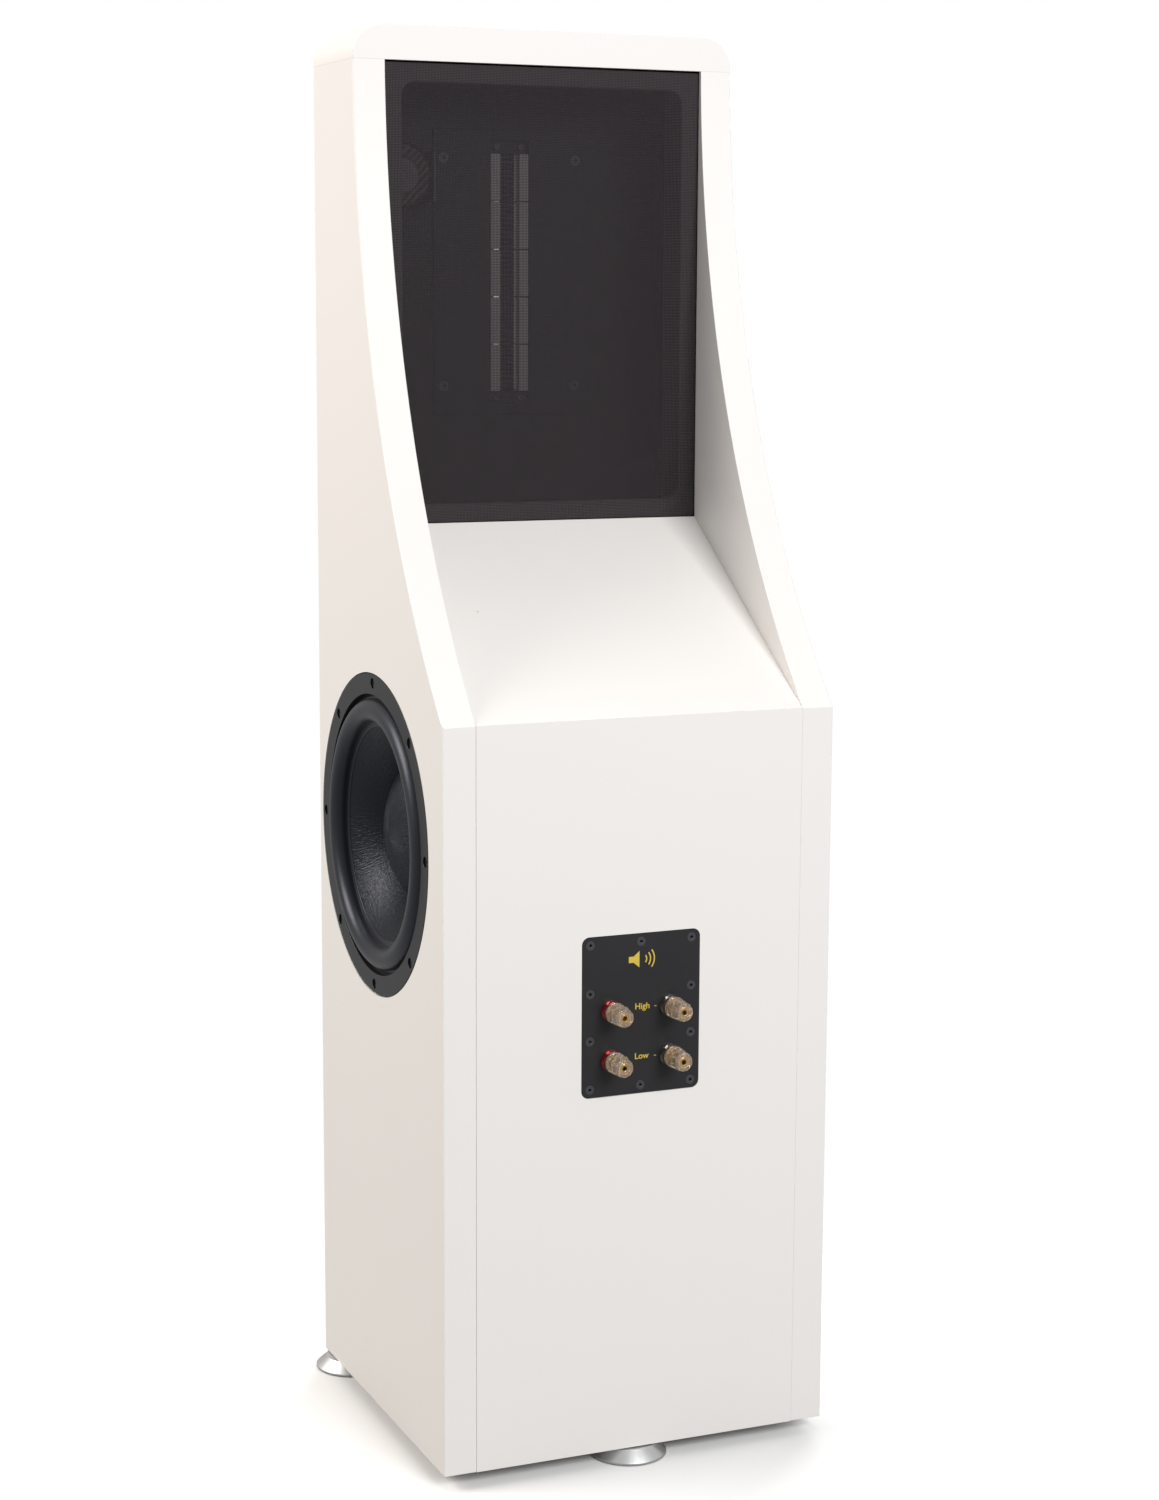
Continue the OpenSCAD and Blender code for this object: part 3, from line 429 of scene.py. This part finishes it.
# ---- Woofer ----
# A cast basket in fine black texture paint, a soft rubber half roll, a pressed-paper cone with a
# shiny coating that shows its fibres, and a domed cap of the same paper.
# The sprayed paint dries in fine pebbles, which break a highlight into a soft grey bloom.
texture_paint, shader = new_finish("black_texture_paint", "#18181b", 0.38)
grain(texture_paint, shader, 1100, 0.35, 0.0002)


def polar(finish, place, around, outward):
    """Texture coordinates that run round a driver's axis and out from it."""
    coord = add(finish, "TexCoord")
    centred = add(finish, "Mapping", {"Vector": coord.outputs["Object"], "vector_type": "TEXTURE",
                                      "Location": place.to_translation(), "Rotation": place.to_euler()})
    angle = add(finish, "TexGradient", {"Vector": centred.outputs["Vector"], "gradient_type": "RADIAL"})
    flat = add(finish, "VectorMath", {"operation": "MULTIPLY", 0: centred.outputs["Vector"], 1: (1, 1, 0)})
    length = add(finish, "VectorMath", {"operation": "LENGTH", 0: flat.outputs["Vector"]})
    round_it = add(finish, "Math", {"operation": "MULTIPLY", 0: angle.outputs["Fac"], 1: around})
    out = add(finish, "Math", {"operation": "MULTIPLY", 0: length.outputs["Value"], 1: outward})
    return add(finish, "CombineXYZ", {"X": round_it.outputs["Value"], "Y": out.outputs["Value"]})


def driver_paper(name, place, size):
    """Coated paper, with its pressed fibres lying round the cone, which roughen its shine."""
    paper, shader = new_finish(name, "#0b0c11", 0.38,
                               {"IOR": 1.5, "Specular IOR Level": 0.4, "Specular Tint": srgb("#dbe4f6")})
    fibre_way = polar(paper, place, 90, 520 / size)
    fibres = add(paper, "TexNoise", {"Vector": fibre_way.outputs["Vector"], "Scale": 1.0, "Detail": 3,
                                     "Roughness": 0.6})
    press_way = polar(paper, place, 340, 130 / size)
    pressing = add(paper, "TexNoise", {"Vector": press_way.outputs["Vector"], "Scale": 1.0, "Detail": 2})
    both = add(paper, "Math", {"operation": "ADD", 0: fibres.outputs["Fac"], 1: pressing.outputs["Fac"]})
    bump = add(paper, "Bump", {"Height": both.outputs["Value"], "Strength": 0.7, "Distance": 0.0007})
    wire(paper, bump.outputs["Normal"], shader.inputs["Normal"])
    gloss = add(paper, "MapRange", {"Value": fibres.outputs["Fac"], "From Min": 0.3, "From Max": 0.7,
                                    "To Min": 0.28, "To Max": 0.5})
    wire(paper, gloss.outputs["Result"], shader.inputs["Roughness"])
    return paper


# Smooth rubber with a bluish bloom: a long soft highlight follows the roll.
roll_rubber, shader = new_finish("moulded_butyl_rubber", "#1b1c21", 0.4,
                                 {"Sheen Weight": 0.06, "Specular Tint": srgb("#dbe4f6")})
sheen(roll_rubber, shader, 45, 0.32, 0.45, 4)

woofer_paper = driver_paper("coated_paper_cone", woofer_axis, 1.0)


def moving_parts(prefix, axis, scale, paper, nodes, body):
    """One driver's cone, domed cap and half-roll surround. Sizes are the woofer's, in mm."""
    place = axis @ Matrix.Scale(scale, 4)
    steps = 192 if scale == 1 else 128
    ball_r = 88.0
    cone = turned([(95.3, -9.7), (90.8, -9.9, 0.8), (31.0, -43.6)], place, steps)
    add_piece(prefix + "_paper_cone", cone, [paper], nodes[:1], body=body, solid=1.1 * scale)
    dome = turned([(0, -14.9), (0, -14.9 - ball_r, 36.1, 24), (53.6, -32.0, 0.4)], place, steps)
    add_piece(prefix + "_domed_cap", dome, [paper], nodes[1:2], body=body, solid=0.8 * scale)
    roll = turned([(118, -5.8), (113.2, -5.8, 0.5), (104, -5.8, -180, 28), (94.6, -8.6, 0.6),
                   (90.2, -9.0, 0.2), (90.0, -9.7)], place, steps)
    add_piece(prefix + "_half_roll", roll, [roll_rubber], nodes[2:], solid=0.6 * scale)


moving_parts("woofer", woofer_axis, 1, woofer_paper, ["woofer_cone", "woofer_dust_cap", "woofer_surround"],
             "woofer_diaphragm")
add_piece("woofer_cast_basket", copy_of("woofer_basket"), [texture_paint], ["woofer_basket"],
          edge=0.35)

# Oiled black oxide: nearly black, with a dull metal glint on the rims.
black_oxide, shader = new_finish("black_oxide_steel", "#1c1c1f", 0.35, {"Metallic": 0.3})
sheen(black_oxide, shader, 700, 0.28, 0.5)
add_piece("woofer_socket_screws", copy_of("woofer_screws"), [black_oxide], ["woofer_screws"],
          edge=0.2)

# Pressed and sintered powder is dark grey, dull and slightly pitted.
ferrite, shader = new_finish("sintered_ferrite", "#2e2e30", 0.55)
grain(ferrite, shader, 500, 0.3, 0.0003, 4)
repaint(ferrite, "woofer_magnet", "mid_motor")

# Enamelled wire laid turn on turn glints in fine lines.
copper, shader = new_finish("enamelled_copper_wire", "#b4642f", 0.3, {"Metallic": 1.0})
ridges(copper, shader, "DIAGONAL", 300, 0.6, 0.0005)
repaint(copper, "woofer_voice_coil", "crossover_coils")

# Cotton stiffened with resin: amber, with the threads still standing up.
dipped_cloth, shader = new_finish("resin_dipped_cotton", "#b98a3c", 0.75)
grain(dipped_cloth, shader, 1400, 0.4, 0.0003)
repaint(dipped_cloth, "woofer_spider", "mid_spider")

# ---- Midrange driver ----
# The woofer's smaller sister, on the front baffle: the same cast basket, paper cone and rubber roll
# at five ninths of the size, in front of its own moulded pot.
mid_low, mid_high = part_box("mid_basket")
mid_axis = Matrix.Translation(((mid_low.x + mid_high.x) / 2, mid_low.y, (mid_low.z + mid_high.z) / 2)) \
    @ Matrix.Rotation(math.pi / 2, 4, "X")
mid_scale = (mid_high.x - mid_low.x) / (woofer_high.z - woofer_low.z)
mid_paper = driver_paper("coated_paper_mid_cone", mid_axis, mid_scale)
moving_parts("mid", mid_axis, mid_scale, mid_paper, ["mid_cone", "mid_cone", "mid_surround"], "mid_diaphragm")
add_piece("mid_cast_basket", copy_of("mid_basket"), [texture_paint], ["mid_basket"], edge=0.25)
add_piece("mid_socket_screws", copy_of("mid_screws"), [black_oxide], ["mid_screws"], edge=0.12)

# ---- Ribbon tweeter ----
# A corrugated aluminium foil hangs between two columns of bar magnets. The plates are anodised
# aluminium, the end clamps black, and the foil is left bright.
# Brushed before it is anodised, so its highlights spread across the brush lines.
anodised, shader = new_finish("satin_anodised_aluminium", "#9a9ca0", 0.42, {"Metallic": 1.0})
coord = add(anodised, "TexCoord")
stretch = add(anodised, "Mapping", {"Vector": coord.outputs["Object"], "Scale": (40, 40, 2200)})
brushing = add(anodised, "TexNoise", {"Vector": stretch.outputs["Vector"], "Scale": 1.0, "Detail": 3})
brush_range = add(anodised, "MapRange", {"Value": brushing.outputs["Fac"], "To Min": 0.33, "To Max": 0.52})
wire(anodised, brush_range.outputs["Result"], shader.inputs["Roughness"])

# Etched, then dyed black: an even satin with a slightly uneven shine from handling.
black_anodised, shader = new_finish("black_anodised_aluminium", "#131317", 0.4)
grain(black_anodised, shader, 1800, 0.15, 0.0001)
sheen(black_anodised, shader, 25, 0.38, 0.54, 3)

# Barrel plating leaves the magnets a warm grey, shiny in places and dull in others.
nickel, shader = new_finish("nickel_plated_magnet", "#b7b1ae", 0.4, {"Metallic": 0.3})
sheen(nickel, shader, 150, 0.32, 0.55, 4)

# Thin rolled foil crinkles as it is folded, so its folds glint unevenly.
foil, shader = new_finish("corrugated_aluminium_foil", "#6f6f72", 0.35, {"Metallic": 1.0})
grain(foil, shader, 500, 0.2, 0.0002)
repaint(foil, "ribbon_foil")

# Black steel that a driver bit has rubbed shows grey metal with a patchy shine.
rubbed_steel, shader = new_finish("rubbed_black_steel", "#5d5d62", 0.38, {"Metallic": 1.0})
sheen(rubbed_steel, shader, 1200, 0.3, 0.5)

for node, finish, slot, edge in (
        ("ribbon_faceplate", anodised, "anodised_aluminium", 0.5),
        ("ribbon_rear_plate", black_anodised, "black_metal", 0.3),
        ("ribbon_magnets", nickel, "magnet", 0.4),
        ("ribbon_clamps", black_anodised, "black_metal", 0.3),
        ("ribbon_screws", rubbed_steel, "bright_screw", 0.15)):
    add_piece(node + "_shaped", copy_of(node), [finish], [node], edge=edge)

# ---- Matching transformer ----
# A ring core wound and wrapped in dark red tape, bolted to a folded strip of plain aluminium.
# Overlapping turns of varnished tape make low slanted steps with a dull red shine.
tape, shader = new_finish("dark_red_winding_tape", "#401c1e", 0.4)
ridges(tape, shader, "DIAGONAL", 90, 0.4, 0.0006, 2)
repaint(tape, "matching_transformer")
# Rolled aluminium left plain has gone dull, so it only glints where it faces a light.
dull_aluminium, shader = new_finish("dull_rolled_aluminium", "#66666a", 0.5, {"Metallic": 1.0})
sheen(dull_aluminium, shader, 700, 0.42, 0.6)
add_piece("folded_strip", copy_of("transformer_bracket"), [dull_aluminium],
          ["transformer_bracket"], edge=0.3)

# ---- Rear grille ----
# A routed frame painted black, with open-weave polyester stretched over it and stapled round its
# edges. The weave lets the ribbon behind show faintly. Push pins hold the frame in the battens.
# Thin black paint over routed board stays greyish and shows the board's raised fibre.
black_board, shader = new_finish("black_painted_board", "#726b6d", 0.6)
grain(black_board, shader, 260, 0.25, 0.0003, 3)
add_piece("routed_grille_frame", copy_of("grille_frame"), [black_board], ["grille_frame"],
          body="rear_grille", edge=0.5)
add_piece("pin_battens", copy_of("grille_battens"), [black_board], ["grille_battens"],
          edge=0.5)

# Open weave: each thread is dull charcoal, and the gaps let a little of what is behind through.
# The real thread spacing is about 0.6 mm; it is drawn at 1.3 mm so that it shows.
weave, shader = new_finish("open_weave_polyester", "#221c21", 0.85, {"Sheen Weight": 0.05})
thread_pitch = 1.3 * MM
coord = add(weave, "TexCoord")
threads = []
for direction in ("X", "Z"):
    band = add(weave, "TexWave", {"Vector": coord.outputs["Object"], "bands_direction": direction,
                                  "Scale": math.tau / thread_pitch / 20, "Distortion": 0.0})
    threads.append(band)
over = add(weave, "Math", {"operation": "MAXIMUM", 0: threads[0].outputs["Fac"],
                           1: threads[1].outputs["Fac"]})
openness = add(weave, "MapRange", {"Value": over.outputs["Value"], "From Min": 0.25, "From Max": 0.85,
                                   "To Min": 0.42, "To Max": 0.86})
wire(weave, openness.outputs["Result"], shader.inputs["Alpha"])
thread_bump = add(weave, "Bump", {"Height": over.outputs["Value"], "Strength": 0.6, "Distance": 0.0003})
wire(weave, thread_bump.outputs["Normal"], shader.inputs["Normal"])

low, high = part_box("grille_frame")
rear_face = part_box("grille_cloth")[1].y - 0.3 * MM
wrap, wrap_depth = 0.25 * MM, 12 * MM
bm = bmesh.new()
bmesh.ops.create_grid(bm, x_segments=24, y_segments=32, size=0.5)
bmesh.ops.scale(bm, vec=(high.x - low.x + 2 * wrap, high.z - low.z + 2 * wrap, 1), verts=bm.verts)
rim = [e for e in bm.edges if e.is_boundary]
folded = bmesh.ops.extrude_edge_only(bm, edges=rim)
bmesh.ops.translate(bm, vec=(0, 0, -wrap_depth), verts=points_of(folded))
bmesh.ops.bevel(bm, geom=rim, offset=1.2 * MM, segments=4, profile=0.5, affect="EDGES", material=-1)
bmesh.ops.recalc_face_normals(bm, faces=bm.faces)
bm.transform(Matrix.Translation(((low.x + high.x) / 2, rear_face, (low.z + high.z) / 2))
             @ Matrix.Rotation(-math.pi / 2, 4, "X"))
if sum(f.normal.y * f.calc_area() for f in bm.faces) < 0:
    bmesh.ops.reverse_faces(bm, faces=bm.faces)
cloth = add_piece("stretched_grille_cloth", bm, [weave], ["grille_cloth"],
                  body="rear_grille", smooth=60)

# ---- Terminal plate ----
# A sheet of black anodised aluminium let into the rear panel, held by countersunk socket screws,
# with its marks printed in gold: a plain loudspeaker sign, the two inputs and their polarity.
add_piece("anodised_terminal_plate", copy_of("terminal_plate"), [black_anodised],
          ["terminal_plate"], edge=0.25)
# Painted shade: the hex sockets and all of each screw below its flat head top take the near-black oxide
# finish; only the flat tops are rubbed steel.
heads = copy_of("terminal_screws")
head_top = max(v.co.y for v in heads.verts)
for face in heads.faces:
    face.material_index = int(face.normal.y > 0.5 and face.calc_center_median().y > head_top - 0.2 * MM)
add_piece("countersunk_socket_screws", heads, [black_oxide, rubbed_steel],
          ["terminal_screws"], edge=0.18)

# Screen ink lies thin and dull, and its tone is faintly mottled.
gold_ink, shader = new_finish("gold_screen_ink", "#cdb03c", 0.5)
coord = add(gold_ink, "TexCoord")
mottle = add(gold_ink, "TexNoise", {"Vector": coord.outputs["Object"], "Scale": 2500, "Detail": 2})
ink_tone = add(gold_ink, "MixRGB", {"Fac": mottle.outputs["Fac"], "Color1": srgb("#bd9f30"),
                                    "Color2": srgb("#dcc250")})
wire(gold_ink, ink_tone.outputs["Color"], shader.inputs["Base Color"])

plate_low, plate_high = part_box("terminal_plate")
ink_t = 0.06
plate_middle = (plate_low + plate_high) / 2
plate_place = Matrix.Translation((plate_middle.x, plate_high.y, plate_middle.z)) \
    @ Matrix.Rotation(math.pi, 4, "Z") @ Matrix.Rotation(math.pi / 2, 4, "X")


def print_mark(name, bm, right, up):
    """Prints a flat shape on the plate, placed in mm from its middle as its reader sees it."""
    bm.transform(plate_place @ Matrix.Translation((right * MM, up * MM, 0)) @ Matrix.Scale(MM, 4))
    add_piece(name, bm, [gold_ink])


def thicken(bm):
    """Gives a flat shape the thickness of the ink."""
    pushed = bmesh.ops.extrude_face_region(bm, geom=bm.faces[:])
    bmesh.ops.translate(bm, vec=(0, 0, ink_t), verts=points_of(pushed))
    bmesh.ops.recalc_face_normals(bm, faces=bm.faces)
    return bm


for word, right, up in (("High", 1.2, 5.9), ("Low", 0.8, -35.4)):
    text = bpy.data.curves.new(word, "FONT")
    text.body = word
    text.size = 7.1
    text.align_x, text.align_y = "CENTER", "CENTER"
    text.extrude = ink_t / 2
    text.offset = 0.09
    letters = bpy.data.objects.new(word, text)
    scene.collection.objects.link(letters)
    bm = bmesh.new()
    drawn = letters.evaluated_get(bpy.context.evaluated_depsgraph_get())
    bm.from_mesh(bpy.data.meshes.new_from_object(drawn))
    bpy.data.objects.remove(letters)
    bmesh.ops.remove_doubles(bm, verts=bm.verts, dist=0.001)
    bmesh.ops.translate(bm, vec=(0, 0, ink_t / 2), verts=bm.verts)
    print_mark("printed_" + word.lower(), bm, right, up)

bm = bmesh.new()
horn = [bm.verts.new((x, y, 0)) for x, y in ((-13, -3), (-8, -3), (-2, -8), (-2, 8), (-8, 3), (-13, 3))]
bm.faces.new(horn)
half_wave, half_line = math.radians(38), 0.65
for radius in (5.5, 9.5, 13.5):
    stroke = [bm.verts.new((r * math.cos(half_wave), -r * math.sin(half_wave), 0))
              for r in (radius - half_line, radius + half_line)]
    start = bm.edges.new(stroke)
    bmesh.ops.spin(bm, geom=stroke + [start], cent=(0, 0, 0), axis=(0, 0, 1), angle=2 * half_wave,
                   steps=16)
bmesh.ops.scale(bm, vec=(0.85, 0.85, 1), verts=bm.verts)
print_mark("printed_loudspeaker_sign", thicken(bm), 0, 45.0)

bm = bmesh.new()
for y in (5.2, -36.0):
    for x, bars in ((-12.6, ((2.8, 0.6), (0.6, 2.8))), (12.8, ((1.8, 0.6),))):
        for w, h in bars:
            corner = bm.verts.new((x - w / 2, y - h / 2, 0))
            edge = bmesh.ops.extrude_vert_indiv(bm, verts=[corner])
            bmesh.ops.translate(bm, vec=(w, 0, 0), verts=edge["verts"])
            sheet = bmesh.ops.extrude_edge_only(bm, edges=edge["edges"])
            bmesh.ops.translate(bm, vec=(0, h, 0), verts=points_of(sheet))
print_mark("printed_polarity", thicken(bm), 0, 0)

# ---- Binding posts ----
# Turned brass, gold plated, with its end bored for a plug. Each has a tinted collar against the
# plate, red for plus and smoke for minus, a gold washer and a clear fluted cap over a gold nut.
# Gold plating over turned brass: warm, bright, and scuffed where plugs and fingers rub it.
gold, shader = new_finish("gold_plated_brass", "#e2c48e", 0.2, {"Metallic": 1.0})
sheen(gold, shader, 900, 0.14, 0.32, 3)


def clear_plastic(name, colour, rough, ior=1.49):
    """Polished acrylic; the moulding leaves very slight waves in it, so its highlights wobble."""
    plastic, shader = new_finish(name, colour, rough, {"IOR": ior, "Transmission Weight": 0.88})
    grain(plastic, shader, 350, 0.03, 0.0003)
    return plastic


clear_acrylic = clear_plastic("clear_acrylic", "#f8ecdc", 0.1, 1.36)
tints = {"plus": (clear_plastic("red_tinted_acrylic", "#b0323c", 0.1), "red_plastic"),
         "minus": (clear_plastic("smoke_tinted_acrylic", "#7d7874", 0.1), "smoke_plastic")}

flutes, flute_depth, flute_start, smooth_inside = 10, 0.09, 10.6, 6.9
collar_pieces = {"plus": [], "minus": []}
for level_name in ("high", "low"):
    for pole in ("plus", "minus"):
        post = level_name + "_" + pole
        low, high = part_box("post_washer_" + post)
        place = Matrix.Translation(((low.x + high.x) / 2, plate_high.y, (low.z + high.z) / 2)) \
            @ Matrix.Rotation(-math.pi / 2, 4, "X")
        washer = turned([(3.72, 7.02), (8.4, 7.02, 0.3), (8.4, 8.18, 0.3), (3.72, 8.18)], place, 64,
                        closed=True)
        add_piece("gold_washer_" + post, washer, [gold], ["post_washer_" + post],
                  body="washer_" + post)
        core = turned([(3.7, 8.22), (6.6, 8.22, 0.2), (6.6, 10.0, 0.2), (5.4, 10.6), (5.4, 14.5, 0.2),
                       (6.2, 15.1), (6.2, 16.6, 0.2), (4.9, 17.4), (4.9, 26.8, 0.2), (3.7, 26.8)],
                      place, 64, closed=True)
        add_piece("gold_nut_" + post, core, [gold], (), body="cap_" + post)
        shell = turned([(6.7, 8.25), (8.7, 8.25, 0.3), (8.9, 10.2, 0.6), (7.75, 26.8, 0.5), (7.0, 28.4, 0.6),
                        (4.0, 28.4, 0.3), (3.8, 27.0), (5.0, 26.9), (5.0, 17.4), (6.3, 16.7), (6.3, 15.0),
                        (5.5, 14.5), (5.5, 10.6), (6.7, 10.1)], Matrix(), 80, closed=True)
        for v in shell.verts:
            around = math.atan2(v.co.y, v.co.x)
            reach = math.hypot(v.co.x, v.co.y) / MM
            if reach > smooth_inside and v.co.z > flute_start * MM:
                squeeze = 1 - flute_depth * max(0.0, math.cos(flutes * around)) ** 2
                v.co.x *= squeeze
                v.co.y *= squeeze
        shell.transform(place)
        add_piece("clear_cap_" + post, shell, [clear_acrylic], ["post_cap_" + post],
                  body="cap_" + post)
        collar = turned([(3.7, 0.02), (9.2, 0.02, 0.3), (9.2, 6.9, 0.9), (3.7, 6.98)], place, 80, closed=True)
        collar_pieces[pole].append(collar)

for pole, rings in collar_pieces.items():
    joined = bmesh.new()
    for ring in rings:
        mesh = bpy.data.meshes.new("ring")
        ring.to_mesh(mesh)
        ring.free()
        joined.from_mesh(mesh)
    finish, slot = tints[pole]
    add_piece("tinted_collars_" + pole, joined, [finish], ["post_collars_" + pole])
add_piece("bored_gold_studs", copy_of("post_studs"), [gold], ["post_studs"], edge=0.15)

# ---- Crossover and wiring ----
# A glass-fibre board on the base with air-cored copper coils, film capacitors in red sleeves, and
# insulated wires up to the posts. All of it is shut inside the cabinet.
# Solder mask is glossy green, paler where it covers a copper track.
solder_mask, shader = new_finish("green_solder_mask", "#1f4a2c", 0.35)
coord = add(solder_mask, "TexCoord")
tracks = add(solder_mask, "TexBrick", {"Vector": coord.outputs["Object"], "Color1": srgb("#1f4a2c"),
                                       "Color2": srgb("#245a35"), "Mortar": srgb("#2f7044"), "Scale": 30})
wire(solder_mask, tracks.outputs["Color"], shader.inputs["Base Color"])
repaint(solder_mask, "crossover_board")

# Shrunk film sleeves are glossy, with a duller printed band round them.
sleeve, shader = new_finish("red_film_sleeve", "#7c1b1b", 0.25)
coord = add(sleeve, "TexCoord")
print_band = add(sleeve, "TexWave", {"Vector": coord.outputs["Object"], "bands_direction": "Y", "Scale": 12})
sleeve_range = add(sleeve, "MapRange", {"Value": print_band.outputs["Fac"], "To Min": 0.2, "To Max": 0.35})
wire(sleeve, sleeve_range.outputs["Result"], shader.inputs["Roughness"])
repaint(sleeve, "crossover_capacitors")

# Soft red insulation, slightly wavy over the strands inside.
insulation, shader = new_finish("red_wire_insulation", "#6d1a1a", 0.4)
grain(insulation, shader, 300, 0.2, 0.0002)
repaint(insulation, "internal_wires")
